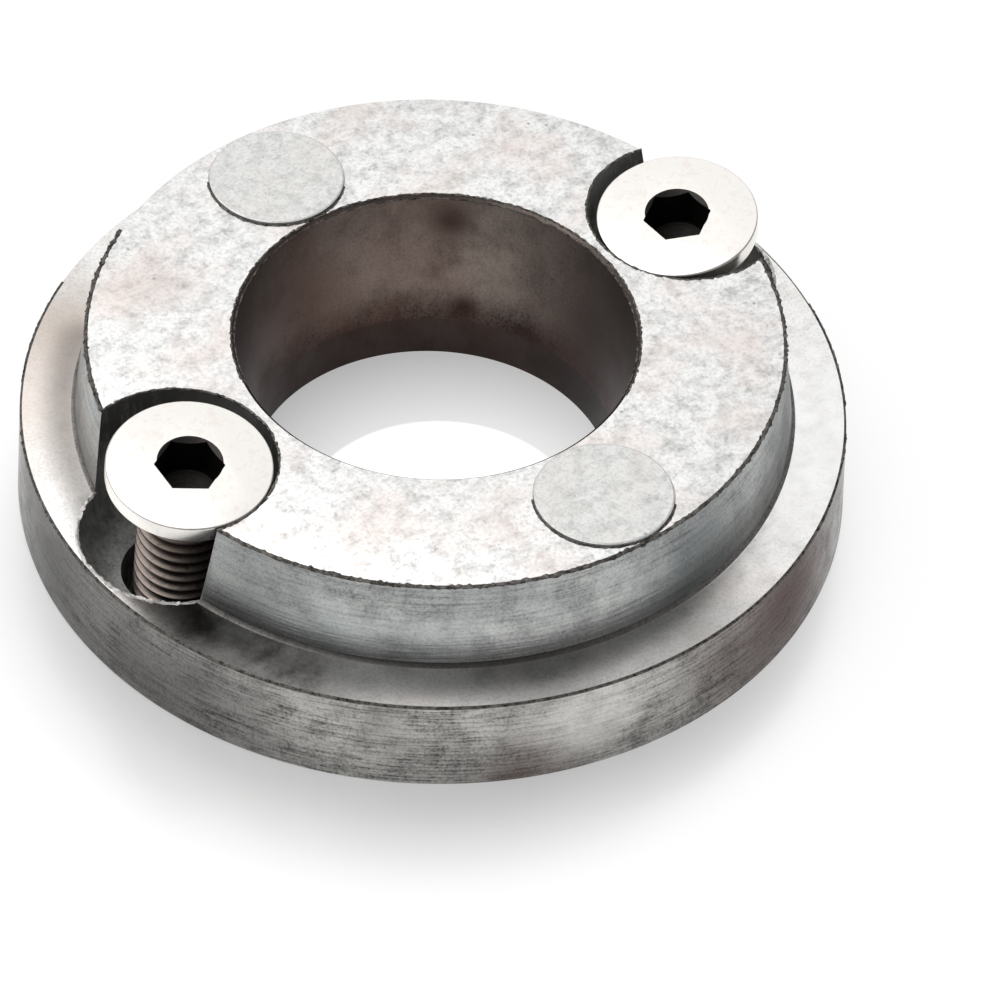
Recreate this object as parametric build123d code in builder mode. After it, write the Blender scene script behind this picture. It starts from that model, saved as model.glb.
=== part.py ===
from build123d import *
import os
from math import radians, sqrt, tan

# Ring-shaped sacrificial anode for a propeller shaft or saildrive.
# One casting: a round flange, a narrower collar on top of it, a drafted bore and
# two deep screw pockets that break out through the collar's wall. Two low-head
# hex socket screws stand loose in the pockets, as they do before fitting.
# Frame: origin on the bore axis at the underside, +Z up, +X through the right screw.
# All lengths are millimetres and all angles degrees.

# Casting
bore_diameter = 39.0        # across the straight land that centres on the shaft
land_height = 5.0           # length of the straight land, from the underside
bore_draft = 6.2            # above the land the bore opens upwards
bore_chamfer = 0.35         # broken edge round the bore's upper mouth
collar_width = 15.6         # from the bore's mouth to the collar's upper edge
collar_height = 10.4        # above the flange
collar_draft = 7.1          # the collar widens towards its foot
flange_height = 11.2
flange_draft = 2.1          # the flange widens towards its base
edge_bevel = 0.25           # bevel of the outer edges
foot_bevel = 0.5            # inside corner where the collar meets the flange

# Raised ejector discs, as wide as the collar's face allows
disc_margin = 0.15          # left beside each disc
disc_height = 0.35
disc_edge = 0.15            # bevel round each disc

# Screws
thread_diameter = 10.0
shank_length = 20.0         # under the head, to the tip
head_diameter = 17.4
head_height = 2.0
head_edge = 0.2             # broken edges of the head
tip_chamfer = 0.9
socket_width = 6.4          # across the flats of the hexagon
socket_depth = 4.4
socket_mouth = 7.8          # across the round countersunk mouth of the socket
socket_slope = 30.0         # of the countersink, from the head's face

# Pockets, sized from the screws
pocket_wall = 1.3           # thinnest metal between a pocket and the bore's mouth
rim_wall = 0.4              # thinnest metal between a pocket and the flange's upper edge
head_clearance = 2.0        # between an upright head and the pocket's mouth
hole_clearance = 0.8        # between an upright thread and its hole
pocket_draft = 2.2          # the pocket narrows downwards
floor_thickness = 5.5       # metal left under each pocket
pocket_round = 3.8          # bowl-shaped corner between a pocket's wall and its floor
head_gap = 0.15             # leaning head to pocket wall
foot_gap = 0.2              # leaning thread to hole wall

# Each loose screw has slid in its own pocket, its head one way and its foot another
screw_bearings = {"left": 180.0, "right": 0.0}
head_bearings = {"left": -73.0, "right": -160.0}
foot_bearings = {"left": 32.0, "right": -10.0}
socket_turns = {"left": 27.0, "right": 33.0}

# Worked out from the above
total_height = flange_height + collar_height
land_radius = bore_diameter / 2
mouth_radius = land_radius + (total_height - land_height) * tan(radians(bore_draft))
collar_radius = mouth_radius + collar_width
foot_radius = collar_radius + collar_height * tan(radians(collar_draft))
pocket_radius = head_diameter / 2 + head_clearance
pocket_radius_at_flange = pocket_radius - collar_height * tan(radians(pocket_draft))
hole_radius = thread_diameter / 2 + hole_clearance
screw_offset = mouth_radius + pocket_wall + pocket_radius
flange_radius = screw_offset + pocket_radius_at_flange + rim_wall
base_radius = flange_radius + flange_height * tan(radians(flange_draft))
disc_inner = mouth_radius + bore_chamfer + disc_margin
disc_outer = collar_radius - edge_bevel - disc_margin
disc_radius = (disc_outer - disc_inner) / 2
disc_offset = (disc_outer + disc_inner) / 2
screw_length = shank_length + head_height
sink_depth = (socket_mouth - socket_width) / 2 * tan(radians(socket_slope))
foot_slide = hole_clearance - foot_gap
head_slide = head_clearance - head_gap

os.makedirs("parts", exist_ok=True)


# Casting: the turned section first, then what interrupts it
with BuildPart() as anode_ring:
    with BuildSketch(Plane.XZ) as section:
        with BuildLine():
            Polyline(
                (land_radius, 0),
                (base_radius, 0),
                (flange_radius, flange_height),
                (foot_radius, flange_height),
                (collar_radius, total_height),
                (mouth_radius, total_height),
                (land_radius, land_height),
                close=True,
            )
        make_face()
        corners = section.vertices()
        outer_edges = corners.group_by(Axis.X)[-1] + corners.group_by(Axis.X)[-2]
        collar_edge = corners.group_by(Axis.Y)[-1].sort_by(Axis.X)[-1:]
        bore_edge = corners.group_by(Axis.Y)[-1].sort_by(Axis.X)[:1]
        collar_foot = corners.group_by(Axis.Y)[-2].sort_by(Axis.X)[:1]
        chamfer(outer_edges + collar_edge, length=edge_bevel)
        chamfer(collar_foot, length=foot_bevel)
        chamfer(bore_edge, length=bore_chamfer)
    revolve(axis=Axis.Z)

    # Ejector discs, a quarter turn from the screws
    with BuildSketch(Plane.XY.offset(total_height)):
        with PolarLocations(disc_offset, 2, start_angle=90):
            Circle(disc_radius)
    extrude(amount=disc_height)
    disc_rims = anode_ring.edges().group_by(Axis.Z)[-1]
    chamfer(disc_rims, length=disc_edge)

    # Pockets, which break out through the collar and stop short of the flange's rim
    with BuildSketch(Plane.XY.offset(total_height)):
        with PolarLocations(screw_offset, 2):
            Circle(pocket_radius)
    extrude(amount=floor_thickness - total_height, taper=pocket_draft, mode=Mode.SUBTRACT)
    pocket_corners = anode_ring.edges(Select.LAST).group_by(Axis.Z)[0]
    fillet(pocket_corners, radius=pocket_round)

    # Clearance holes through the pocket floors
    with BuildSketch(Plane.XY):
        with PolarLocations(screw_offset, 2):
            Circle(hole_radius)
    extrude(amount=floor_thickness, mode=Mode.SUBTRACT)

anode_ring.part.label = "anode_ring"
export_step(anode_ring.part, "parts/anode_ring.step")


def screw_plane(side: str) -> Plane:
    """Plane at the screw's foot, its normal along the leaning screw."""
    pocket = Vector(screw_offset, 0, 0).rotate(Axis.Z, screw_bearings[side])
    head = Vector(head_slide, 0, 0).rotate(Axis.Z, head_bearings[side])
    foot = Vector(foot_slide, 0, 0).rotate(Axis.Z, foot_bearings[side])
    slant = (head - foot) / screw_length
    axis = slant + Vector(0, 0, sqrt(1 - slant.length**2))
    foot_height = (thread_diameter / 2 - tip_chamfer) * slant.length
    return Plane(origin=pocket + foot + Vector(0, 0, foot_height), x_dir=(1, 0, 0), z_dir=axis)


def make_screw(side: str) -> Part:
    """One low-head hex socket screw, from its tip up to the face of its head."""
    foot = screw_plane(side)
    with BuildPart(foot) as screw:
        with BuildSketch(foot):
            Circle(thread_diameter / 2)
        extrude(amount=shank_length)
        chamfer(screw.edges().sort_by(Axis(foot.origin, foot.z_dir))[0], length=tip_chamfer)

        with BuildSketch(foot.offset(shank_length)):
            Circle(head_diameter / 2)
        extrude(amount=head_height)
        rings = screw.edges().sort_by(Axis(foot.origin, foot.z_dir)).filter_by(GeomType.CIRCLE)
        head_rims = rings.filter_by(lambda edge: abs(edge.radius - head_diameter / 2) < head_edge)
        chamfer(head_rims, length=head_edge)

        with BuildSketch(foot.offset(screw_length)):
            RegularPolygon(socket_width / 2, 6, major_radius=False, rotation=socket_turns[side])
        extrude(amount=-socket_depth, mode=Mode.SUBTRACT)
        with BuildSketch(foot.offset(screw_length)):
            Circle(socket_mouth / 2)
        extrude(amount=-sink_depth, taper=90 - socket_slope, mode=Mode.SUBTRACT)
    return screw.part


for screw_side in screw_bearings:
    fixing_screw = make_screw(screw_side)
    fixing_screw.label = f"fixing_screw_{screw_side}"
    export_step(fixing_screw, f"parts/{fixing_screw.label}.step")
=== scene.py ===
"""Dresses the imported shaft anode: one cast ring and its two loose low-head cap screws.

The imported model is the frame, in metres, with +Z up and the screws on the X axis. The ring and
the screws are modelled again at the same size and place, with cast skins, burred edges and cut
threads, and stand on a glossy white sheet under a studio dome and one softbox.
"""

import logging
import math
from contextlib import contextmanager
from dataclasses import dataclass
from enum import Enum
from typing import Iterator, Sequence

import bmesh
import bpy
from mathutils import Matrix, Vector


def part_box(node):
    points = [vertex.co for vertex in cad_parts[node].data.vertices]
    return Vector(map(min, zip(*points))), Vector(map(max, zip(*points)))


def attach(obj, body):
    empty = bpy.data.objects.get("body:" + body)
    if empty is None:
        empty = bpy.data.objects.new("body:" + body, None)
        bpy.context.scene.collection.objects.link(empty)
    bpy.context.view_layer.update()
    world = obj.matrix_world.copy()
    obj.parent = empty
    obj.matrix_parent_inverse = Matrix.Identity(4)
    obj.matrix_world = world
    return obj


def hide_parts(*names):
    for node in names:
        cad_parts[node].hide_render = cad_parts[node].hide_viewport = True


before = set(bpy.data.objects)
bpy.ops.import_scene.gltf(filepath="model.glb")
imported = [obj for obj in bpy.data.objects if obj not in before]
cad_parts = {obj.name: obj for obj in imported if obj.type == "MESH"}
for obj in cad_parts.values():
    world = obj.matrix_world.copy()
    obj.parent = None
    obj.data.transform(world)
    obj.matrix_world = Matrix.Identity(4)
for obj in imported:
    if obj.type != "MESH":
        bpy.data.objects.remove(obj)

LOG = logging.getLogger("shaft_anode")
MILLIMETRE = 0.001
SLACK = 0.01        # millimetres, within which two places count as the same
BODY = "root"
WHITE = (1.0, 1.0, 1.0, 1.0)

Piece = bpy.types.Object
Tree = bpy.types.NodeTree
Node = bpy.types.Node
Socket = bpy.types.NodeSocket


def mm(length: float) -> float:
    """Turns millimetres into Blender's metres."""
    return length * MILLIMETRE


def in_mm(place: Sequence[float]) -> Vector:
    """Turns a place in millimetres into metres."""
    return Vector(place) * MILLIMETRE


def on_circle(radius: float, bearing: float, height: float = 0.0) -> Vector:
    """Gives the place at a radius, a bearing in degrees and a height."""
    turn = math.radians(bearing)
    return Vector((radius * math.cos(turn), radius * math.sin(turn), height))


def tangent(angle: float) -> float:
    """Gives the tangent of an angle in degrees."""
    return math.tan(math.radians(angle))


def linear(colour: str) -> tuple[float, float, float, float]:
    """Turns an sRGB hex colour into linear RGBA.

    Args:
        colour: Six hex digits after a hash sign.

    Returns:
        Red, green, blue and an alpha of one.
    """
    channels = [int(colour[start:start + 2], 16) / 255 for start in (1, 3, 5)]
    red, green, blue = [
        value / 12.92 if value <= 0.04045 else ((value + 0.055) / 1.055) ** 2.4 for value in channels
    ]
    return red, green, blue, 1.0


# ---- Modelling bench ----


class Cut(Enum):
    """How a tool body changes the piece it meets."""

    REMOVE = "DIFFERENCE"
    ADD = "UNION"
    KEEP = "INTERSECT"


class Bench:
    """Small steps that the pieces share when they are modelled."""

    @staticmethod
    def take(*pieces: Piece) -> None:
        """Selects only some pieces, the first one active.

        Args:
            *pieces: The pieces to select.
        """
        bpy.ops.object.select_all(action="DESELECT")
        for piece in pieces:
            piece.select_set(True)
        bpy.context.view_layer.objects.active = pieces[0]

    @staticmethod
    @contextmanager
    def editing(piece: Piece) -> Iterator[None]:
        """Holds one piece in edit mode, at first with all of its vertices selected.

        Args:
            piece: The piece to edit.

        Yields:
            Nothing.
        """
        Bench.take(piece)
        bpy.ops.object.mode_set(mode="EDIT")
        bpy.ops.mesh.select_mode(type="VERT")
        bpy.ops.mesh.select_all(action="SELECT")
        yield
        bpy.ops.object.mode_set(mode="OBJECT")

    @staticmethod
    def settle(piece: Piece, name: str) -> Piece:
        """Names a piece and puts its place into its mesh.

        Args:
            piece: The piece to settle.
            name: Its new name.

        Returns:
            The same piece.
        """
        Bench.take(piece)
        bpy.ops.object.transform_apply(location=True, rotation=True, scale=True)
        piece.name = piece.data.name = name
        return piece

    @staticmethod
    def bevel_ring(
        piece: Piece, corner: tuple[float, float], width: float, rows: int,
        centre: tuple[float, float] = (0.0, 0.0),
    ) -> None:
        """Bevels one level ring of edges. All sizes are millimetres.

        Args:
            piece: The piece that has the ring.
            corner: Radius and height of the ring.
            width: Width of the bevel.
            rows: Number of faces across the bevel.
            centre: Middle of the ring.
        """
        radius, height = corner
        middle = Vector((*centre, height))
        with Bench.editing(piece):
            bpy.ops.mesh.select_mode(type="EDGE")
            shape = bmesh.from_edit_mesh(piece.data)
            for edge in shape.edges:
                ends = [end.co / MILLIMETRE - middle for end in edge.verts]
                edge.select_set(all(
                    abs(end.xy.length - radius) < SLACK and abs(end.z) < SLACK for end in ends
                ))
            bmesh.update_edit_mesh(piece.data)
            bpy.ops.mesh.bevel(offset=mm(width), segments=rows, affect="EDGES")

    @staticmethod
    def turn(name: str, stations: Sequence[tuple[float, float]], steps: int) -> Piece:
        """Raises one ring of edges through a closed round of stations.

        Args:
            name: Name of the piece.
            stations: Radius and height of each corner of the section, in millimetres.
            steps: Number of faces round the axis.

        Returns:
            The turned piece, closed and facing outwards.
        """
        radius, height = stations[0]
        bpy.ops.object.select_all(action="DESELECT")
        bpy.ops.mesh.primitive_circle_add(vertices=steps, radius=mm(radius))
        piece = bpy.context.object
        with Bench.editing(piece):
            bpy.ops.transform.translate(value=(0, 0, mm(height)))
            for next_radius, next_height in [*stations[1:], stations[0]]:
                spread = next_radius / radius
                bpy.ops.mesh.extrude_edges_move()
                bpy.ops.transform.resize(value=(spread, spread, 1), center_override=(0, 0, 0))
                bpy.ops.transform.translate(value=(0, 0, mm(next_height - height)))
                radius, height = next_radius, next_height
            bpy.ops.mesh.select_all(action="SELECT")
            bpy.ops.mesh.remove_doubles(threshold=mm(0.001))
            bpy.ops.mesh.normals_make_consistent(inside=False)
        return Bench.settle(piece, name)

    @staticmethod
    def cone(place: Sequence[float], lower: float, upper: float, depth: float, steps: int) -> Piece:
        """Adds an upright cone or cylinder that stands on a place. All sizes are millimetres.

        Args:
            place: Middle of its lower face.
            lower: Radius of the lower face.
            upper: Radius of the upper face.
            depth: Height.
            steps: Number of faces round it.

        Returns:
            The new piece.
        """
        bpy.ops.object.select_all(action="DESELECT")
        middle = Vector(place) + Vector((0, 0, depth / 2))
        bpy.ops.mesh.primitive_cone_add(
            vertices=steps, radius1=mm(lower), radius2=mm(upper), depth=mm(depth), location=in_mm(middle)
        )
        return Bench.settle(bpy.context.object, "cone")

    @staticmethod
    def combine(piece: Piece, tool: Piece, cut: Cut) -> None:
        """Applies a tool body to a piece and deletes the tool.

        Args:
            piece: The piece that changes.
            tool: The tool body.
            cut: What the tool does.
        """
        modifier = piece.modifiers.new("combine", "BOOLEAN")
        modifier.operation = cut.value
        modifier.object = tool
        modifier.solver = "EXACT"
        Bench.take(piece)
        bpy.ops.object.modifier_apply(modifier=modifier.name)
        bpy.data.objects.remove(tool)

    @staticmethod
    def join(piece: Piece, others: Sequence[Piece]) -> None:
        """Joins other meshes into a piece."""
        Bench.take(piece, *others)
        bpy.ops.object.join()

    @staticmethod
    def smooth(piece: Piece, angle: float) -> None:
        """Shades a piece smooth across edges blunter than an angle in degrees."""
        Bench.take(piece)
        bpy.ops.object.shade_smooth_by_angle(angle=math.radians(angle))


# ---- Finishes ----


def add_node(tree: Tree, kind: str, sockets: dict | Sequence = (), **settings: object) -> Node:
    """Adds a shader node with its settings, and sets or links its inputs.

    Args:
        tree: The node tree that gets the node.
        kind: Blender's name of the node's type, without ShaderNode in front.
        sockets: Inputs by name, or in their order. Each is a value, an output to link, or a
            node whose first output is linked.
        **settings: Properties of the node.

    Returns:
        The new node.
    """
    node = tree.nodes.new(f"ShaderNode{kind}")
    for name, value in settings.items():
        setattr(node, name, value)
    for name, value in sockets.items() if isinstance(sockets, dict) else enumerate(sockets):
        source = value.outputs[0] if isinstance(value, Node) else value
        if isinstance(source, Socket):
            tree.links.new(source, node.inputs[name])
        else:
            node.inputs[name].default_value = source
    return node


def blank_material(name: str) -> tuple[bpy.types.Material, Tree]:
    """Makes a material with an empty node tree.

    Args:
        name: Name of the material.

    Returns:
        The material and its tree.
    """
    material = bpy.data.materials.new(name)
    material.use_nodes = True
    material.node_tree.nodes.clear()
    return material, material.node_tree


@dataclass(frozen=True)
class StainOrLightPatch:
    """A soft patch of another colour at a place on the piece, in millimetres. Some are real stains and
    tints, others painted shade, painted shadow and painted highlights.
    """

    place: Sequence[float]
    reach: float
    colour: str
    strength: float


@dataclass(frozen=True)
class CastSkin:
    """Skin of a die-cast anode alloy: bright metal, mottled by the chill of the die.

    The mottle is the frozen flow of the metal and the grain is the fine pitting of the die's
    face. The drag lines are the die's marks on a wall, level where the die was turned and
    upright where the casting was drawn out of it. The fade darkens the skin from its second
    height to its first one. All sizes are millimetres, and depths and amounts are shares of
    the way from one colour to the next.
    """

    name: str
    light: str
    dark: str
    tint: str
    roughness: float
    mottle: float
    mottle_depth: float
    grain: float
    grain_depth: float
    grain_height: float
    drag: tuple[float, float]       # length of a mark, level and upright
    drag_depth: float
    drag_height: float
    tint_amount: float = 0.25
    metallic: float = 1.0
    fade: tuple[float, float, float] = (0.0, 1.0, 0.0)
    stains_and_light: tuple[StainOrLightPatch, ...] = ()
    dark_range: tuple[float, float] = (0.32, 0.56)      # where a pattern goes from dark to clear
    cloud_size: float = 3.0                             # of the tint's clouds, in mottles
    cloud_range: tuple[float, float] = (0.45, 0.7)      # where a cloud goes from clear to tinted
    roughness_play: float = 0.06
    roughness_range: tuple[float, float] = (0.3, 0.7)   # where the mottle goes from rough to smooth
    broken_strength: float = 0.82                       # of a patch where the mottle is weakest
    broken_range: tuple[float, float] = (0.3, 0.6)
    pit_spacing: float = 4.0
    pit_size: float = 0.22
    pit_depth: float = 0.5
    pit_colour: str = "#3c3a38"

    def build(self) -> bpy.types.Material:
        """Builds the skin as a node material.

        Returns:
            The material.
        """
        material, tree = blank_material(self.name)
        place = add_node(tree, "TexCoord").outputs["Object"]
        level, upright = self.drag
        stretch = (1 / mm(level), 1 / mm(level), 1 / mm(upright))
        stretched = add_node(tree, "Mapping", {"Vector": place, "Scale": stretch})
        mottle, grain, drag, cloud = (
            add_node(tree, "TexNoise", {"Vector": at, "Scale": scale, "Detail": detail, "Roughness": rough})
            for at, scale, detail, rough in (
                (place, 1 / mm(self.mottle), 5.0, 0.62),
                (place, 1 / mm(self.grain), 2.0, 0.7),
                (stretched, 1.0, 4.0, 0.65),
                (place, 1 / mm(self.mottle * self.cloud_size), 2.0, 0.5),
            )
        )
        light = self._light(tree, place, (mottle, grain, drag))
        tinted = add_node(tree, "MapRange", (cloud, *self.cloud_range, 0.0, self.tint_amount))
        cells = add_node(tree, "TexVoronoi", {"Vector": place, "Scale": 1 / mm(self.pit_spacing)})
        pit = self.pit_size / self.pit_spacing
        pitted = add_node(tree, "MapRange", (cells, pit / 2, pit, self.pit_depth, 0.0))
        layers = [(light, self.light), (tinted, self.tint), (pitted, self.pit_colour)]
        colour = linear(self.dark)
        for amount, over in layers + self._patch_layers(tree, place, mottle):
            sockets = {"Factor": amount, "A": colour, "B": linear(over)}
            colour = add_node(tree, "Mix", sockets, data_type="RGBA").outputs["Result"]
        rough, smooth = self.roughness + self.roughness_play, self.roughness - self.roughness_play
        ridges = add_node(tree, "Bump", {"Height": drag, "Distance": mm(self.drag_height), "Strength": 1.0})
        metal = add_node(tree, "BsdfPrincipled", {
            "Base Color": colour,
            "Roughness": add_node(tree, "MapRange", (mottle, *self.roughness_range, rough, smooth)),
            "Metallic": self.metallic,
            "Normal": add_node(tree, "Bump", {
                "Height": grain, "Distance": mm(self.grain_height), "Strength": 1.0, "Normal": ridges,
            }),
        })
        add_node(tree, "OutputMaterial", {"Surface": metal})
        return material

    def _light(self, tree: Tree, place: Socket, patterns: Sequence[Node]) -> Node:
        """Works out how light the metal is, from 0 for the dark colour to 1 for the light one.

        Args:
            tree: The material's node tree.
            place: Object coordinates.
            patterns: The mottle, the grain and the drag lines.

        Returns:
            The node that gives the lightness.
        """
        darkest, lightest, loss = self.fade
        height = add_node(tree, "SeparateXYZ", {"Vector": place}).outputs["Z"]
        light = add_node(
            tree, "MapRange", (height, mm(darkest), mm(lightest), 1 - loss, 1.0),
            interpolation_type="SMOOTHSTEP",
        )
        for pattern, depth in zip(patterns, (self.mottle_depth, self.grain_depth, self.drag_depth)):
            taken = add_node(tree, "MapRange", (pattern, *self.dark_range, depth, 0.0))
            light = add_node(tree, "Math", (light, taken), operation="SUBTRACT", use_clamp=True)
        return light

    def _patch_layers(self, tree: Tree, place: Socket, mottle: Node) -> list[tuple[Node, str]]:
        """Works out how much there is of each patch, broken up by the mottle.

        Args:
            tree: The material's node tree.
            place: Object coordinates.
            mottle: The mottle.

        Returns:
            For each patch the node that gives its amount, and its colour.
        """
        broken = add_node(tree, "MapRange", (mottle, *self.broken_range, self.broken_strength, 1.0))
        layers = []
        for patch in self.stains_and_light:
            away = add_node(tree, "VectorMath", (place, in_mm(patch.place)), operation="DISTANCE")
            whole = add_node(
                tree, "MapRange", (away.outputs["Value"], 0.0, mm(patch.reach), patch.strength, 0.0),
                interpolation_type="SMOOTHSTEP",
            )
            layers.append((add_node(tree, "Math", (whole, broken), operation="MULTIPLY"), patch.colour))
        return layers


# Face of the casting, bright from the polished die, with a fine frosted mottle
FACE = CastSkin(
    "cast_face", light="#fefefd", dark="#a3a3a1", tint="#ecd9d0", roughness=0.33,
    mottle=2.4, mottle_depth=0.44, grain=0.46, grain_depth=0.36, grain_height=0.016,
    drag=(1.2, 1.2), drag_depth=0.12, drag_height=0.01, tint_amount=0.4,
    stains_and_light=(
        StainOrLightPatch((-20.0, 23.0, 21.6), 7.0, "#cdb6ab", 0.45),
        StainOrLightPatch((-24.0, -20.0, 21.6), 7.0, "#dcc8bd", 0.35),
    ),
)
# Ejector discs: the pins' ends leave a slightly duller face than the die
DISC = CastSkin(
    "ejector_disc", light="#ececea", dark="#a3a3a1", tint="#e0dad3", roughness=0.36,
    mottle=2.0, mottle_depth=0.34, grain=0.34, grain_depth=0.36, grain_height=0.016,
    drag=(0.9, 0.9), drag_depth=0.12, drag_height=0.012,
)
# Painted highlight on edges: a pale and rather dull line on the discs' bevels and the pockets' lips
EDGE_HIGHLIGHT = CastSkin(
    "painted_highlight_edge", light="#fffefc", dark="#b9b3ae", tint="#efe4dc", roughness=0.45,
    mottle=0.8, mottle_depth=0.35, grain=0.25, grain_depth=0.35, grain_height=0.01,
    drag=(0.6, 0.6), drag_depth=0.2, drag_height=0.01, metallic=0.35,
)
# Upper face of the flange: the smoothest skin, so it mirrors the wall above it. Its dark patches at the
# front are the collar's painted shadow, the white patch on the right is a painted highlight, and the row of
# small grey patches by the collar's foot is painted shade.
FLANGE_FACE = CastSkin(
    "flange_face", light="#fdfcfa", dark="#a6a29e", tint="#e6d9d1", roughness=0.32,
    mottle=2.4, mottle_depth=0.24, grain=0.36, grain_depth=0.32, grain_height=0.013,
    drag=(1.6, 1.6), drag_depth=0.10, drag_height=0.006, tint_amount=0.3,
    stains_and_light=(
        # Painted shadow of the collar on the front
        StainOrLightPatch((-35.5, -22.0, 11.2), 27.0, "#242221", 0.95),
        StainOrLightPatch(on_circle(41.0, 198.0, 11.2), 12.0, "#1c1b1a", 0.90),
        StainOrLightPatch((-15.0, -39.3, 11.2), 23.0, "#3d3b39", 0.66),
        StainOrLightPatch((3.0, -42.0, 11.2), 12.0, "#4d4b49", 0.50),
        # Painted highlight on the right
        StainOrLightPatch(on_circle(40.3, 316.0, 11.2), 26.0, "#ffffff", 0.85),
        # Pinkish tints on the left
        StainOrLightPatch((-25.5, 31.3, 11.2), 12.0, "#a39487", 0.70),
        StainOrLightPatch((-33.0, 25.0, 11.2), 22.0, "#e6d6cb", 0.50),
        # Painted shade along the collar's foot on the left
        *(StainOrLightPatch(on_circle(39.3, bearing, 11.2), 3.8, "#77716d", 0.6) for bearing in range(130, 174, 4)),
    ),
)
# Inside corner at the collar's foot, dark and dull as painted shade, with a wider painted shadow at the
# front
FOOT = CastSkin(
    "collar_foot", light="#a8a4a0", dark="#4b4846", tint="#7d7873", roughness=0.5,
    mottle=2.6, mottle_depth=0.40, grain=0.32, grain_depth=0.50, grain_height=0.012,
    drag=(1.6, 1.6), drag_depth=0.2, drag_height=0.01, tint_amount=0.4, metallic=0.5,
    stains_and_light=(StainOrLightPatch((-18.0, -33.0, 11.5), 34.0, "#383634", 0.85),),
)
# Collar wall: drafted skin with long level lines round it, darker towards its upper edge; its grey, darker
# than the face, is painted shade
COLLAR_WALL = CastSkin(
    "collar_wall", light="#d2d4d2", dark="#6f7070", tint="#a7b0b2", roughness=0.34,
    mottle=3.4, mottle_depth=0.34, grain=0.32, grain_depth=0.32, grain_height=0.012,
    drag=(9.0, 0.35), drag_depth=0.36, drag_height=0.03, tint_amount=0.4, fade=(21.6, 15.0, 0.24),
    stains_and_light=(
        # Painted shade on the sides, left and right of the front
        StainOrLightPatch((-35.2, -15.0, 15.0), 12.0, "#5d605f", 0.55),
        StainOrLightPatch((7.0, -37.7, 16.0), 12.0, "#4a5155", 0.70),
        StainOrLightPatch((27.5, -26.5, 17.0), 14.0, "#6a6f72", 0.50),
    ),
)
# Flange wall and underside: a darker grey as painted shade, with finer level lines, brown oxide in places,
# painted shade on the left and a painted highlight at the front
FLANGE_WALL = CastSkin(
    "flange_wall", light="#cccbc7", dark="#595856", tint="#979390", roughness=0.38,
    mottle=3.0, mottle_depth=0.42, grain=0.32, grain_depth=0.42, grain_height=0.016,
    drag=(6.0, 0.28), drag_depth=0.60, drag_height=0.04, tint_amount=0.45, fade=(0.0, 6.0, 0.18),
    stains_and_light=(
        # Brown oxide
        StainOrLightPatch((16.0, -41.0, 7.0), 19.0, "#3a120e", 0.94),
        StainOrLightPatch((5.0, -43.7, 6.0), 10.0, "#3f2a26", 0.45),
        StainOrLightPatch((-17.3, -40.8, 0.5), 9.0, "#5a413b", 0.60),
        # Painted shade on the left
        StainOrLightPatch((-43.0, -10.0, 4.0), 24.0, "#2b2a29", 0.68),
        StainOrLightPatch((-43.6, 9.0, 5.0), 21.0, "#2b2a29", 0.86),
        # Painted highlight at the front
        StainOrLightPatch((-11.5, -43.1, 7.0), 9.0, "#eeece8", 0.60),
    ),
)
# Bore: brown oxide over the metal, with dark patches on its sides and small dark spots, and darker towards
# its foot
BORE = CastSkin(
    "bore_skin", light="#81766f", dark="#352b28", tint="#5c423a", roughness=0.40,
    mottle=4.5, mottle_depth=0.30, grain=0.28, grain_depth=0.26, grain_height=0.012,
    drag=(0.5, 5.0), drag_depth=0.08, drag_height=0.006, tint_amount=0.45, fade=(4.6, 10.5, 0.80),
    stains_and_light=(
        StainOrLightPatch((-16.0, 12.6, 10.0), 20.0, "#2c110d", 0.96),
        StainOrLightPatch((-2.0, 20.6, 13.0), 11.0, "#4e3a33", 0.50),
        StainOrLightPatch((-21.0, -2.0, 12.0), 15.0, "#1d0f0d", 0.96),
        StainOrLightPatch((20.2, -3.5, 10.0), 19.0, "#271513", 0.92),
        StainOrLightPatch((13.7, 15.8, 18.3), 4.5, "#33241f", 0.85),
        StainOrLightPatch((14.2, 13.7, 6.9), 2.6, "#2a1a16", 0.85),
    ),
)
# Straight land at the foot of the bore, darker than the draft above it
BORE_LAND = CastSkin(
    "bore_land", light="#453b38", dark="#201917", tint="#36241f", roughness=0.42,
    mottle=4.5, mottle_depth=0.3, grain=0.28, grain_depth=0.16, grain_height=0.010,
    drag=(0.5, 7.0), drag_depth=0.08, drag_height=0.006, tint_amount=0.4,
    stains_and_light=(
        StainOrLightPatch((-16.0, 12.6, 2.0), 17.0, "#200c09", 0.9),
        StainOrLightPatch((20.2, -3.5, 2.0), 17.0, "#1b1413", 0.9),
    ),
)
# Pockets: clean metal drawn off the core, with short upright lines, darker towards the mouth
POCKET = CastSkin(
    "pocket_skin", light="#c9c9c6", dark="#5e5e5c", tint="#9aa0a2", roughness=0.36,
    mottle=2.2, mottle_depth=0.30, grain=0.3, grain_depth=0.18, grain_height=0.010,
    drag=(0.5, 5.0), drag_depth=0.45, drag_height=0.02, metallic=0.45, fade=(20.0, 10.5, 0.80),
)
# Burr: torn metal along the edges, coloured dark as painted shade along the torn edge
BURR = CastSkin(
    "edge_burr", light="#85817c", dark="#2c2a28", tint="#4a4541", roughness=0.6,
    mottle=0.7, mottle_depth=0.8, grain=0.25, grain_depth=0.4, grain_height=0.02,
    drag=(0.5, 0.5), drag_depth=0.3, drag_height=0.02, metallic=0.7,
)
SKINS = (FACE, DISC, EDGE_HIGHLIGHT, FLANGE_FACE, FOOT, COLLAR_WALL, FLANGE_WALL, BORE, BORE_LAND, POCKET, BURR)


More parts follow.
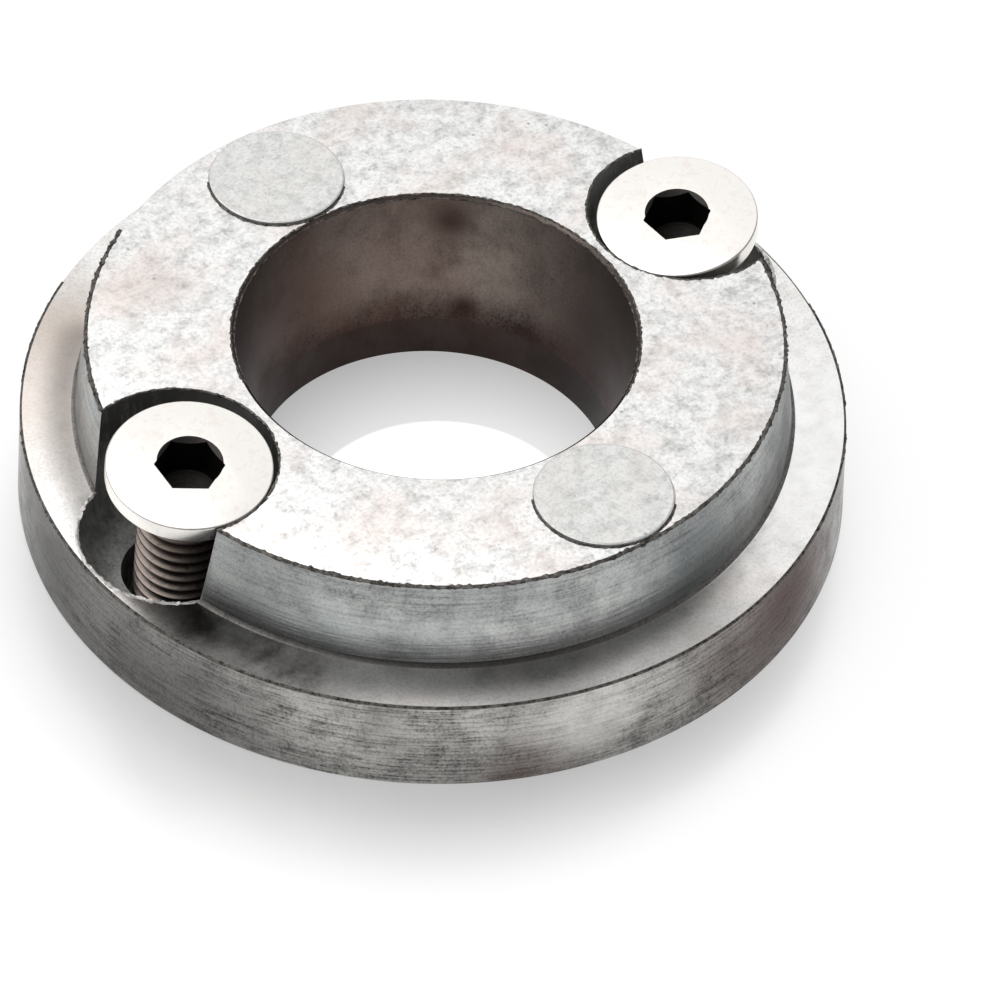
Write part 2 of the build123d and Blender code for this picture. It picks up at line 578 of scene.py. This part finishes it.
@dataclass(frozen=True)
class SatinSteel:
    """Stainless steel of a cap screw, turned and then tumbled to a satin finish.

    Faint lathe rings and small rub marks show on it, and grease with painted shade darkens it between two
    radii, the more the nearer it is to the axis. All sizes are millimetres.
    """

    name: str
    light: str
    dark: str
    grime_shade: str
    roughness: float
    ring: float
    ring_depth: float
    grime_shade_radius: tuple[float, float]
    grime_shade_amount: float
    rub: float = 0.9
    wear_range: tuple[float, float] = (0.3, 0.5)        # where the wear goes from dark to light
    wear_height: float = 0.006

    def build(self, placing: Matrix) -> bpy.types.Material:
        """Builds the steel as a node material.

        Args:
            placing: The screw's place, which centres the rings on its axis.

        Returns:
            The material.
        """
        material, tree = blank_material(self.name)
        place = add_node(tree, "TexCoord").outputs["Object"]
        lean = {"Vector": place, "Location": placing.to_translation(), "Rotation": placing.to_euler()}
        own = add_node(tree, "Mapping", lean, vector_type="TEXTURE")
        flat = add_node(tree, "VectorMath", (own, (1, 1, 0)), operation="MULTIPLY")
        radius = add_node(tree, "VectorMath", (flat,), operation="LENGTH").outputs["Value"]
        ringed = {"W": radius, "Scale": 1 / mm(self.ring), "Detail": 3.0}
        rings = add_node(tree, "TexNoise", ringed, noise_dimensions="1D")
        rubbed = {"Vector": own, "Scale": 1 / mm(self.rub), "Detail": 4.0, "Roughness": 0.7}
        rubs = add_node(tree, "TexNoise", rubbed)
        wear = add_node(tree, "Math", (rings, rubs), operation="MINIMUM")
        light = add_node(tree, "MapRange", (wear, *self.wear_range, 1 - self.ring_depth, 1.0))
        root, crest = self.grime_shade_radius
        grime_shade_mix = add_node(tree, "MapRange", (radius, mm(root), mm(crest), self.grime_shade_amount, 0.0))
        colour = linear(self.dark)
        for amount, over in ((light, self.light), (grime_shade_mix, self.grime_shade)):
            sockets = {"Factor": amount, "A": colour, "B": linear(over)}
            colour = add_node(tree, "Mix", sockets, data_type="RGBA").outputs["Result"]
        relief = add_node(tree, "Bump", {"Height": wear, "Distance": mm(self.wear_height), "Strength": 1.0})
        metal = add_node(tree, "BsdfPrincipled", {
            "Base Color": colour, "Roughness": self.roughness, "Metallic": 1.0, "Normal": relief,
        })
        add_node(tree, "OutputMaterial", {"Surface": metal})
        return material


# ---- Ring ----


@dataclass(frozen=True)
class Tear:
    """How the metal is torn along an edge: the burr's size and its place off the edge.

    All sizes are millimetres.
    """

    width: float
    rise: float
    ragged: float
    outwards: float = 0.0
    upwards: float = 0.0


COLLAR_TEAR = Tear(0.46, 0.30, 0.21, outwards=-0.05, upwards=-0.06)
RIM_TEAR = Tear(0.30, 0.22, 0.11, outwards=0.02, upwards=-0.05)
LIP_TEAR = Tear(0.42, 0.26, 0.18, upwards=-0.02)
DISC_TEAR = Tear(0.26, 0.16, 0.10, outwards=0.06, upwards=0.02)
FLANGE_TEAR = Tear(0.20, 0.16, 0.10, outwards=-0.04, upwards=-0.06)
BORE_TEAR = Tear(0.24, 0.16, 0.12, upwards=-0.03)
MOUTH_TEAR = Tear(0.20, 0.16, 0.10, outwards=-0.02)


@dataclass(frozen=True)
class Burr:
    """A run of torn metal along a round edge. Lengths are millimetres, angles degrees."""

    tear: Tear
    centre: tuple[float, float]
    radius: float
    height: float
    start: float
    sweep: float
    seed: int
    skin: CastSkin = BURR

    def build(self, step: float = 0.35, sides: int = 6) -> Piece:
        """Builds the run as a thin bead whose points are thrown about.

        Args:
            step: Length of one stretch of the bead, in millimetres.
            sides: Number of faces round the bead.

        Returns:
            The bead.
        """
        tear = self.tear
        radius = self.radius + tear.outwards
        middle = Vector((*self.centre, self.height + tear.upwards))
        sweep = math.radians(self.sweep)
        bpy.ops.object.select_all(action="DESELECT")
        bpy.ops.mesh.primitive_circle_add(
            vertices=sides, radius=mm(tear.width / 2), rotation=(math.pi / 2, 0, math.radians(self.start)),
            location=in_mm(middle + on_circle(radius, self.start)),
        )
        bead = Bench.settle(bpy.context.object, "burr")
        with Bench.editing(bead):
            count = max(3, round(sweep * radius / step))
            bpy.ops.mesh.spin(steps=count, angle=-sweep, center=in_mm(middle), axis=(0, 0, 1))
            bpy.ops.mesh.select_all(action="SELECT")
            bpy.ops.mesh.remove_doubles(threshold=mm(SLACK))
            bpy.ops.mesh.fill_holes(sides=sides)
            bpy.ops.mesh.select_all(action="SELECT")
            bpy.ops.mesh.normals_make_consistent(inside=False)
            bpy.ops.transform.resize(value=(1, 1, tear.rise / tear.width), center_override=in_mm(middle))
            bpy.ops.transform.vertex_random(offset=mm(tear.ragged), uniform=0.0, normal=0.0, seed=self.seed)
        bead.data.materials.append(bpy.data.materials[self.skin.name])
        return bead


@dataclass
class AnodeRing:
    """The casting: flange, collar, drafted bore, two screw pockets and two ejector discs.

    Lengths are millimetres and angles degrees, and bearings are counted from the X axis.
    """

    land_radius: float = 19.5
    land_height: float = 5.0
    bore_draft: float = 6.2
    bore_chamfer: float = 0.35
    collar_width: float = 15.6
    collar_height: float = 10.4
    collar_draft: float = 7.1
    flange_draft: float = 2.1
    edge_bevel: float = 0.25
    foot_bevel: float = 0.5
    disc_margin: float = 0.15
    disc_height: float = 0.35
    disc_edge: float = 0.24
    disc_sunk: float = 0.5              # into the collar, where the disc is joined to it
    pocket_wall: float = 1.3
    pocket_radius: float = 10.7
    pocket_draft: float = 2.2
    pocket_round: float = 3.8
    hole_radius: float = 5.8
    floor_thickness: float = 5.5
    overshoot: float = 1.0              # of a tool body past the faces that it cuts
    plain_edges_until: float = 120.0           # up to this bearing the outer edges have no burr and none of its painted shade
    flange_burr_end: float = 345.0
    flange_burr_lengths: tuple[float, ...] = (9.0, 16.0, 6.0, 21.0, 12.0)
    flange_burr_gap: float = 0.6        # after a run, of another run's length
    disc_burr: tuple[float, float] = (150.0, 165.0)     # start and sweep, on the side towards the camera only, as a painted shade line
    bore_burr: tuple[float, float] = (-60.0, 225.0)
    steps: int = 360

    def __post_init__(self) -> None:
        """Works out the rest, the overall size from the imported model."""
        low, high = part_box("anode_ring")
        self.base_radius = (high.x - low.x) / 2 / MILLIMETRE
        self.top = high.z / MILLIMETRE - self.disc_height
        self.flange_height = self.top - self.collar_height
        self.flange_radius = self.base_radius - self.flange_height * tangent(self.flange_draft)
        self.mouth_radius = self.land_radius + (self.top - self.land_height) * tangent(self.bore_draft)
        self.collar_radius = self.mouth_radius + self.collar_width
        self.foot_radius = self.collar_radius + self.collar_height * tangent(self.collar_draft)
        self.pocket_offset = self.mouth_radius + self.pocket_wall + self.pocket_radius
        inner = self.mouth_radius + self.bore_chamfer + self.disc_margin
        outer = self.collar_radius - self.edge_bevel - self.disc_margin
        self.disc_radius = (outer - inner) / 2
        self.disc_offset = (outer + inner) / 2

    def pocket_radius_at(self, height: float) -> float:
        """Radius of a pocket at a height, both in millimetres."""
        return self.pocket_radius - (self.top - height) * tangent(self.pocket_draft)

    def build(self) -> Piece:
        """Builds the dressed ring, which stands for the CAD node.

        Returns:
            The ring.
        """
        ring = self._turned_body()
        self._add_discs(ring)
        self._cut_pockets(ring)
        self._dress(ring)
        Bench.join(ring, [burr.build() for burr in self.burrs()])
        Bench.smooth(ring, angle=15)
        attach(ring, BODY)
        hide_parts("anode_ring")
        return ring

    def _turned_body(self) -> Piece:
        """Turns the section round the bore's axis and breaks its edges.

        Returns:
            The turned ring.
        """
        base = (self.base_radius, 0.0)
        flange = (self.flange_radius, self.flange_height)
        foot = (self.foot_radius, self.flange_height)
        collar = (self.collar_radius, self.top)
        mouth = (self.mouth_radius, self.top)
        land = (self.land_radius, self.land_height)
        stations = ((self.land_radius, 0.0), base, flange, foot, collar, mouth, land)
        ring = Bench.turn("cast_ring", stations, self.steps)
        Bench.bevel_ring(ring, base, self.edge_bevel, rows=3)
        Bench.bevel_ring(ring, flange, self.edge_bevel, rows=3)
        Bench.bevel_ring(ring, foot, self.foot_bevel, rows=5)
        Bench.bevel_ring(ring, collar, self.edge_bevel, rows=3)
        Bench.bevel_ring(ring, mouth, self.bore_chamfer, rows=1)
        return ring

    def _add_discs(self, ring: Piece) -> None:
        """Raises the ejector discs, a quarter turn from the pockets.

        Args:
            ring: The ring that gets them.
        """
        radius = self.disc_radius
        depth = self.disc_height + self.disc_sunk
        for offset in (self.disc_offset, -self.disc_offset):
            disc = Bench.cone((0, offset, self.top - self.disc_sunk), radius, radius, depth, steps=128)
            rim = (radius, self.top + self.disc_height)
            Bench.bevel_ring(disc, rim, self.disc_edge, rows=2, centre=(0.0, offset))
            Bench.combine(ring, disc, Cut.ADD)

    def _cut_pockets(self, ring: Piece) -> None:
        """Cuts the drafted pockets and the holes through their floors.

        Args:
            ring: The ring that they are cut in.
        """
        floor = self.floor_thickness
        lower = self.pocket_radius_at(floor)
        upper = self.pocket_radius_at(self.top + self.overshoot)
        depth = self.top + self.overshoot - floor
        for offset in (self.pocket_offset, -self.pocket_offset):
            pocket = Bench.cone((offset, 0, floor), lower, upper, depth, steps=192)
            Bench.bevel_ring(pocket, (lower, floor), self.pocket_round, rows=14, centre=(offset, 0.0))
            Bench.combine(ring, pocket, Cut.REMOVE)
            hole = Bench.cone(
                (offset, 0, -self.overshoot), self.hole_radius, self.hole_radius,
                floor + 2 * self.overshoot, steps=96,
            )
            Bench.combine(ring, hole, Cut.REMOVE)

    def burrs(self) -> list[Burr]:
        """Lists the runs of burr along the ring's edges.

        Returns:
            The runs.
        """
        runs = []
        axis = (0.0, 0.0)
        opening = self._meeting_angle(self.collar_radius, self.pocket_radius)
        rim_start = 180 - self._meeting_angle(self.pocket_radius, self.collar_radius)
        lip_radius = self.pocket_radius_at(self.flange_height)
        lip = 180 - self._meeting_angle(lip_radius, self.foot_radius)
        collar_starts = (self.plain_edges_until, 180 + opening)
        for index, (side, sign, first) in enumerate(zip((0.0, 180.0), (1, -1), collar_starts)):
            pocket = (sign * self.pocket_offset, 0.0)
            disc = (0.0, sign * self.disc_offset)
            runs += [
                Burr(COLLAR_TEAR, axis, self.collar_radius, self.top, first,
                     side + 180 - opening - first, seed=11 + index),
                Burr(RIM_TEAR, pocket, self.pocket_radius, self.top, side + rim_start,
                     360 - 2 * rim_start, seed=21 + index),
                Burr(LIP_TEAR, pocket, lip_radius, self.flange_height, side - lip, 2 * lip,
                     seed=31 + index, skin=EDGE_HIGHLIGHT),
                Burr(DISC_TEAR, disc, self.disc_radius, self.top, *self.disc_burr, seed=41 + index),
            ]
        lengths = self.flange_burr_lengths
        flange = (self.flange_radius, self.flange_height)
        start = self.plain_edges_until
        while start < self.flange_burr_end:
            length = lengths[len(runs) % len(lengths)]
            runs.append(Burr(FLANGE_TEAR, axis, *flange, start, length, seed=len(runs)))
            start += length + self.flange_burr_gap * lengths[(len(runs) + 2) % len(lengths)]
        rim = (self.mouth_radius + self.bore_chamfer, self.top)
        mouth = (self.mouth_radius, self.top - self.bore_chamfer)
        runs.append(Burr(BORE_TEAR, axis, *rim, *self.bore_burr, seed=61))
        runs.append(Burr(MOUTH_TEAR, axis, *mouth, *self.bore_burr, seed=62))
        return runs

    def _meeting_angle(self, radius: float, other: float) -> float:
        """Angle at a circle's centre, off the line of centres, where it meets the other circle.

        Args:
            radius: Radius of the circle, in millimetres.
            other: Radius of the other, whose centre is a pocket's offset away.

        Returns:
            The angle in degrees.
        """
        offset = self.pocket_offset
        cosine = (radius ** 2 + offset ** 2 - other ** 2) / (2 * radius * offset)
        return math.degrees(math.acos(cosine))

    def _skin_at(self, middle: Vector, normal: Vector) -> CastSkin:
        """Chooses the skin of one face of the ring.

        Args:
            middle: The face's middle, in millimetres.
            normal: The face's normal.

        Returns:
            The skin.
        """
        slack = 0.08
        # Limits of the upward part of a face's normal
        steep, level, flat = 0.5, 0.6, 0.95
        rounded = 0.2 < normal.z < 0.98
        radius = math.hypot(middle.x, middle.y)
        plain_edge = 0 < math.degrees(math.atan2(middle.y, middle.x)) < self.plain_edges_until
        for edge, height in ((self.collar_radius, self.top), (self.flange_radius, self.flange_height)):
            on_edge = abs(radius - edge) < self.edge_bevel and abs(middle.z - height) < self.edge_bevel
            # The rounded outer edges, past the plain back, get the burr's painted shade
            if on_edge and rounded and not plain_edge:
                return BURR
        bowl = middle.z < self.floor_thickness + self.pocket_round + slack
        inner_wall = middle.z < self.top - slack and normal.z > -steep and (bowl or normal.z < steep)
        reach = math.hypot(abs(middle.x) - self.pocket_offset, middle.y)
        if inner_wall and reach < self.pocket_radius_at(middle.z) + slack:
            return POCKET
        if radius < self.mouth_radius + self.bore_chamfer and normal.z < flat:
            return BORE_LAND if middle.z < self.land_height else BORE
        if normal.z > level and middle.z > self.top - self.edge_bevel - slack:
            over_disc = math.hypot(middle.x, abs(middle.y) - self.disc_offset) < self.disc_radius + slack
            if over_disc and middle.z > self.top + slack:
                # The discs' bevels get the painted highlight
                return DISC if normal.z > flat else EDGE_HIGHLIGHT
            return FACE
        by_foot = abs(middle.z - self.flange_height) < self.foot_bevel
        if by_foot and radius < self.foot_radius + self.foot_bevel and rounded:
            return FOOT
        if middle.z > self.flange_height + slack:
            return COLLAR_WALL
        if normal.z > level and middle.z > self.flange_height - 2 * slack:
            return FLANGE_FACE
        return FLANGE_WALL

    def _dress(self, ring: Piece) -> None:
        """Gives the ring its skins, face by face.

        Args:
            ring: The ring, before its burrs are joined to it.
        """
        for skin in SKINS:
            ring.data.materials.append(skin.build())
        for face in ring.data.polygons:
            face.material_index = SKINS.index(self._skin_at(face.center / MILLIMETRE, face.normal))


# ---- Screws ----


@dataclass(frozen=True)
class Stance:
    """How a screw stands: four bearings in degrees.

    They are its pocket's, from the bore's axis, those towards which its head and its foot have
    slid in the pocket, and the one that its socket is turned to.
    """

    pocket: float
    head: float
    foot: float
    socket: float


class Side(Enum):
    """The two screws, each with the way it stands."""

    LEFT = Stance(180.0, -73.0, 32.0, 27.0)
    RIGHT = Stance(0.0, -160.0, -10.0, 33.0)


@dataclass
class FixingScrews:
    """Two low-head hex socket screws, which lean in their pockets.

    Lengths are millimetres and angles degrees.
    """

    pocket_offset: float
    thread_diameter: float = 10.0
    pitch: float = 1.5
    thread_depth: float = 0.61      # this and the next three are shares of the pitch
    half_root: float = 0.125
    half_crest: float = 0.0625
    grime_shade_depth: float = 0.55
    turn_steps: int = 72
    shank_length: float = 20.0
    head_diameter: float = 17.4
    head_height: float = 2.0
    head_edge: float = 0.2
    tip_chamfer: float = 0.9
    socket_width: float = 6.4
    socket_depth: float = 4.4
    socket_mouth: float = 7.8
    socket_slope: float = 30.0
    drill_depth: float = 1.2        # of the drill's point, below the socket
    drill_point: float = 0.02
    mouth_shift: float = 0.45       # the countersink is this far off centre
    mouth_bearing: float = 21.4
    foot_slide: float = 0.6
    head_slide: float = 1.85
    overshoot: float = 1.0          # of a tool body past the face that it cuts

    def __post_init__(self) -> None:
        """Works out a screw's length."""
        self.length = self.shank_length + self.head_height

    def build(self) -> list[Piece]:
        """Builds both screws, which stand for their CAD nodes.

        Returns:
            The screws.
        """
        pattern = self._model()
        screws = []
        for side in Side:
            screw = pattern.copy()
            screw.data = pattern.data.copy()
            bpy.context.scene.collection.objects.link(screw)
            placing = self.placing(side)
            screw.matrix_world = placing
            Bench.settle(screw, f"cap_screw_{side.name.lower()}")
            self._dress(screw, placing, side)
            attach(screw, BODY)
            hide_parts(f"fixing_screw_{side.name.lower()}")
            screws.append(screw)
        bpy.data.objects.remove(pattern)
        return screws

    def placing(self, side: Side) -> Matrix:
        """Works out where a screw stands and how it leans.

        Args:
            side: Which screw.

        Returns:
            Its place, in metres.
        """
        stance = side.value
        pocket = on_circle(self.pocket_offset, stance.pocket)
        head = on_circle(self.head_slide, stance.head)
        foot = on_circle(self.foot_slide, stance.foot)
        slant = (head - foot) / self.length
        axis = slant + Vector((0, 0, math.sqrt(1 - slant.length_squared)))
        foot.z = (self.thread_diameter / 2 - self.tip_chamfer) * slant.length
        across = (Vector((1, 0, 0)) - axis * axis.x).normalized()
        turned = Matrix((across, axis.cross(across), axis)).transposed().to_4x4()
        turned @= Matrix.Rotation(math.radians(stance.socket), 4, "Z")
        return Matrix.Translation(in_mm(pocket + foot)) @ turned

    def _model(self) -> Piece:
        """Models one upright screw with its tip at the origin.

        Returns:
            The screw.
        """
        screw = self._thread()
        radius = self.head_diameter / 2
        head = Bench.cone((0, 0, self.shank_length), radius, radius, self.head_height, steps=192)
        for height in (self.shank_length, self.length):
            Bench.bevel_ring(head, (radius, height), self.head_edge, rows=4)
        Bench.combine(screw, head, Cut.ADD)
        floor = self.length - self.socket_depth
        half_side = math.pi / 6
        corner = self.socket_width / 2 / math.cos(half_side)
        hexagon = Bench.cone((0, 0, floor), corner, corner, self.socket_depth + self.overshoot, steps=6)
        hexagon.data.transform(Matrix.Rotation(half_side, 4, "Z"))
        Bench.combine(screw, hexagon, Cut.REMOVE)
        margin = 0.05
        drill = Bench.cone(
            (0, 0, floor - self.drill_depth), self.drill_point, self.socket_width / 2 - margin,
            self.drill_depth + margin, steps=96,
        )
        Bench.combine(screw, drill, Cut.REMOVE)
        slope = tangent(self.socket_slope)
        sink = (self.socket_mouth - self.socket_width) / 2 * slope
        reach = self.socket_width / 2 - self.mouth_shift
        mouth = Bench.cone(
            on_circle(self.mouth_shift, self.mouth_bearing, self.length - sink), reach,
            reach + sink / slope + self.overshoot, sink + slope * self.overshoot, steps=96,
        )
        Bench.combine(screw, mouth, Cut.REMOVE)
        Bench.smooth(screw, angle=24)
        return screw

    def _thread(self) -> Piece:
        """Models the threaded shank: one pitch of its section, screwed along the axis.

        Returns:
            The shank.
        """
        crest = self.thread_diameter / 2
        root = crest - self.thread_depth * self.pitch
        section = (
            (root, 0.0), (root, self.half_root), (crest, 0.5 - self.half_crest),
            (crest, 0.5 + self.half_crest), (root, 1.0 - self.half_root), (root, 1.0),
        )
        bpy.ops.object.select_all(action="DESELECT")
        bpy.ops.mesh.primitive_plane_add(size=mm(1))
        thread = bpy.context.object
        with Bench.editing(thread):
            bpy.ops.mesh.merge(type="CENTER")
            radius, height = section[0]
            bpy.ops.transform.translate(value=(mm(radius), 0, mm(height - 1) * self.pitch))
            for next_radius, next_height in section[1:]:
                step = (mm(next_radius - radius), 0, mm(next_height - height) * self.pitch)
                bpy.ops.mesh.extrude_vertices_move(TRANSFORM_OT_translate={"value": step})
                radius, height = next_radius, next_height
        modifier = thread.modifiers.new("helix", "SCREW")
        modifier.axis = "Z"
        modifier.angle = 2 * math.pi
        modifier.screw_offset = mm(self.pitch)
        modifier.iterations = math.ceil(self.length / self.pitch) + 2
        modifier.steps = modifier.render_steps = self.turn_steps
        Bench.take(thread)
        bpy.ops.object.modifier_apply(modifier=modifier.name)
        buried = 0.5
        with Bench.editing(thread):
            bpy.ops.mesh.remove_doubles(threshold=mm(0.005))
            bpy.ops.mesh.normals_make_consistent(inside=False)
            for height, upwards in ((0.0, -1), (self.shank_length + buried, 1)):
                bpy.ops.mesh.select_all(action="SELECT")
                bpy.ops.mesh.bisect(
                    plane_co=(0, 0, mm(height)), plane_no=(0, 0, upwards), use_fill=True,
                    clear_outer=True, threshold=mm(0.001),
                )
            bpy.ops.mesh.select_all(action="SELECT")
            bpy.ops.mesh.normals_make_consistent(inside=False)
        below, beside = 0.1, 0.2
        tip = Bench.cone((0, 0, -below), crest + beside, crest + beside, self.length, steps=144)
        Bench.bevel_ring(tip, (crest + beside, -below), self.tip_chamfer + below + beside, rows=1)
        Bench.combine(thread, tip, Cut.KEEP)
        return Bench.settle(thread, "cap_screw")

    def _dress(self, screw: Piece, placing: Matrix, side: Side) -> None:
        """Gives a screw its steels.

        Args:
            screw: The screw, in its place.
            placing: That place.
            side: Which screw, which ends the names of its steels.
        """
        suffix = side.name.lower()
        crest = self.thread_diameter / 2
        root = crest - self.grime_shade_depth * self.pitch
        steels = (
            # Head: bright and clean, nearly white
            SatinSteel(f"satin_head_{suffix}", "#f8f5f0", "#e8d6d0", "#d8d2cb", roughness=0.26,
                       ring=30.0, ring_depth=0.4, grime_shade_radius=(0.0, 0.1), grime_shade_amount=0.0),
            # Thread: brownish and greasy, its roots painted almost black as shade
            SatinSteel(f"greasy_shaded_thread_{suffix}", "#a0958e", "#463d39", "#241b18", roughness=0.32,
                       ring=0.4, ring_depth=0.6, grime_shade_radius=(root, crest), grime_shade_amount=0.97),
            # Socket: broached; its dark, dull colour is painted shade in the hexagon and the drill point,
            # and a painted dark reflection on the countersink
            SatinSteel(f"broached_socket_shade_{suffix}", "#4a4745", "#262423", "#131211", roughness=0.45,
                       ring=0.5, ring_depth=0.5, grime_shade_radius=(0.0, crest), grime_shade_amount=0.5),
        )
        for steel in steels:
            screw.data.materials.append(steel.build(placing))
        back = placing.inverted()
        lowest = self.length - self.socket_depth - self.drill_depth
        flat = 0.95
        for face in screw.data.polygons:
            middle = back @ face.center / MILLIMETRE
            normal = back.to_3x3() @ face.normal
            inside = math.hypot(middle.x, middle.y) < self.socket_mouth / 2 and middle.z > lowest
            # The socket's walls and countersink get the steel with painted shade
            if inside and normal.z < flat and normal.xy.dot(middle.xy) <= 0:
                face.material_index = 2
            elif middle.z < self.shank_length - SLACK:
                face.material_index = 1


# ---- Studio ----


@dataclass
class Studio:
    """Floor, dome, lamp and camera. Lengths are millimetres and angles degrees."""

    view_target: tuple[float, float, float] = (-2.548, -15.261, 10.8)
    view_distance: float = 655.51
    view_bearing: float = 51.4
    view_drop: float = 45.557
    view_roll: float = 2.72
    lens: float = 224.70
    sensor: float = 36.0
    floor_size: float = 4000.0
    floor_grey: float = 0.9
    floor_roughness: float = 0.24
    # How much of a mirror and of a glow the camera and the shiny faces see in the floor
    floor_mirror: float = 0.16
    floor_glow: float = 0.50
    # The glow paints the ring's shadow beside it: it is weakest on a circle and grows on both sides of it
    shade_place: tuple[float, float, float] = (-8.6, -7.2, 0.0)
    shade_radius: float = 33.4
    shade_reach: float = 17.0
    shade_strength: tuple[float, float] = (0.80, 1.32)
    # Under the ring, between these two radii, there is no glow but the pool's
    bore_reach: float = 19.8
    ring_reach: float = 43.8
    # In the bore it paints a bright pool of light, and painted shade that deepens away from the pool's edge
    pool_place: tuple[float, float, float] = (-3.0, -6.0, 0.0)
    pool_radius: float = 15.5
    pool_edge: float = 0.5
    pool_strength: float = 2.0
    bore_fade: float = 10.0
    bore_strength: tuple[float, float] = (1.30, 0.80)
    # The dome's white part: its direction, and the cosines off it at which it begins and is full
    bright_bearing: float = 51.4
    bright_height: float = 42.0
    bright_range: tuple[float, float] = (0.81, 0.93)
    dome_strength: tuple[float, float] = (0.25, 1.0)
    lamp_place: tuple[float, float, float] = (-220.0, 260.0, 620.0)
    lamp_size: float = 740.0
    lamp_power: float = 2.6

    def build(self) -> None:
        """Sets the floor, the light and the camera."""
        self._floor()
        self._dome()
        self._lamp()
        self._camera()
        bpy.context.scene.view_settings.view_transform = "Standard"

    def _floor(self) -> None:
        """Lays a sheet of glossy white acrylic, which mirrors what stands on it."""
        bpy.ops.object.select_all(action="DESELECT")
        bpy.ops.mesh.primitive_plane_add(size=mm(self.floor_size))
        floor = bpy.context.object
        floor.name = "white_sheet"
        material, tree = blank_material("glossy_white_acrylic")
        plain = add_node(tree, "BsdfDiffuse", {"Color": (*[self.floor_grey] * 3, 1.0)})
        glow = add_node(tree, "Emission", {"Color": WHITE, "Strength": self._glow(tree)})
        mirror = add_node(tree, "BsdfGlossy", {"Color": WHITE, "Roughness": self.floor_roughness})
        sheen = self.floor_mirror + self.floor_glow
        backdrop = add_node(tree, "MixShader", (self.floor_mirror / sheen, glow, mirror))
        seen = add_node(tree, "MixShader", (sheen, plain, backdrop))
        rays = add_node(tree, "LightPath").outputs
        clear = rays["Is Camera Ray"]
        for ray in ("Is Glossy Ray", "Is Transmission Ray"):
            clear = add_node(tree, "Math", (clear, rays[ray]), operation="MAXIMUM")
        surface = add_node(tree, "MixShader", (clear, plain, seen))
        add_node(tree, "OutputMaterial", {"Surface": surface})
        floor.data.materials.append(material)

    def _glow(self, tree: Tree) -> Node:
        """Works out how strongly each place of the floor glows, which paints the ring's shadow and a pool
        of light in the bore.

        Args:
            tree: The floor's node tree.

        Returns:
            The node that gives the strength.
        """
        place = add_node(tree, "TexCoord").outputs["Object"]
        away, from_shade, from_pool = (
            add_node(tree, "VectorMath", (place, in_mm(middle)), operation="DISTANCE").outputs["Value"]
            for middle in ((0, 0, 0), self.shade_place, self.pool_place)
        )
        off_circle = add_node(tree, "Math", (from_shade, mm(self.shade_radius)), operation="SUBTRACT")
        off_circle = add_node(tree, "Math", (off_circle,), operation="ABSOLUTE")
        around = add_node(
            tree, "MapRange", (off_circle, 0.0, mm(self.shade_reach), *self.shade_strength),
            interpolation_type="SMOOTHSTEP",
        )
        fade = (mm(self.pool_radius), mm(self.pool_radius + self.bore_fade))
        within = add_node(tree, "MapRange", (from_pool, *fade, *self.bore_strength))
        edge = (mm(self.pool_radius - self.pool_edge), mm(self.pool_radius + self.pool_edge))
        pool = add_node(tree, "MapRange", (from_pool, *edge, self.pool_strength, 0.0))
        past_ring = add_node(tree, "Math", (away, mm(self.ring_reach)), operation="GREATER_THAN")
        in_bore = add_node(tree, "Math", (away, mm(self.bore_reach)), operation="LESS_THAN")
        around = add_node(tree, "Math", (around, past_ring), operation="MULTIPLY")
        within = add_node(tree, "Math", (within, in_bore), operation="MULTIPLY")
        strength = add_node(tree, "Math", (around, within), operation="ADD")
        return add_node(tree, "Math", (strength, pool), operation="MAXIMUM")

    def _dome(self) -> None:
        """Surrounds the object with a soft dome, white behind and above and grey elsewhere."""
        world = bpy.data.worlds.new("studio_dome")
        bpy.context.scene.world = world
        world.use_nodes = True
        tree = world.node_tree
        tree.nodes.clear()
        direction = add_node(tree, "TexCoord").outputs["Generated"]
        height = math.radians(self.bright_height)
        brightest = on_circle(math.cos(height), self.bright_bearing, math.sin(height))
        closeness = add_node(tree, "VectorMath", (direction, brightest), operation="DOT_PRODUCT")
        level = add_node(
            tree, "MapRange", (closeness.outputs["Value"], *self.bright_range, *self.dome_strength),
            interpolation_type="SMOOTHSTEP",
        )
        sky = add_node(tree, "Background", {"Color": WHITE, "Strength": level})
        add_node(tree, "OutputWorld", {"Surface": sky})

    def _lamp(self) -> None:
        """Hangs a square softbox that points at the object."""
        data = bpy.data.lights.new("overhead_softbox", "AREA")
        data.size = mm(self.lamp_size)
        data.energy = self.lamp_power
        lamp = bpy.data.objects.new("overhead_softbox", data)
        bpy.context.scene.collection.objects.link(lamp)
        lamp.location = in_mm(self.lamp_place)
        lamp.rotation_euler = (-lamp.location).to_track_quat("-Z", "Y").to_euler()

    def _camera(self) -> None:
        """Sets the camera on the line of sight through the target."""
        bearing = math.radians(self.view_bearing)
        drop = math.radians(self.view_drop)
        roll = math.radians(self.view_roll)
        forward = on_circle(math.cos(drop), self.view_bearing, -math.sin(drop))
        level = Vector((math.sin(bearing), -math.cos(bearing), 0))
        upward = level.cross(forward)
        right = level * math.cos(roll) + upward * math.sin(roll)
        above = right.cross(forward)
        data = bpy.data.cameras.new("studio_camera")
        data.lens = self.lens
        data.sensor_width = self.sensor
        data.clip_start = 0.01
        data.clip_end = 20.0
        camera = bpy.data.objects.new("studio_camera", data)
        bpy.context.scene.collection.objects.link(camera)
        place = in_mm(self.view_target) - forward * mm(self.view_distance)
        turned = Matrix((right, above, -forward)).transposed().to_4x4()
        camera.matrix_world = Matrix.Translation(place) @ turned
        bpy.context.scene.camera = camera


def main() -> None:
    """Builds the pieces and the studio in order."""
    logging.basicConfig(level=logging.INFO, format="%(message)s")
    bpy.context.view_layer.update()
    ring_maker = AnodeRing()
    ring = ring_maker.build()
    screws = FixingScrews(pocket_offset=ring_maker.pocket_offset).build()
    for piece in (ring, *screws):
        LOG.info("%s: %d faces", piece.name, len(piece.data.polygons))
    Studio().build()


if __name__ == "__main__":
    main()
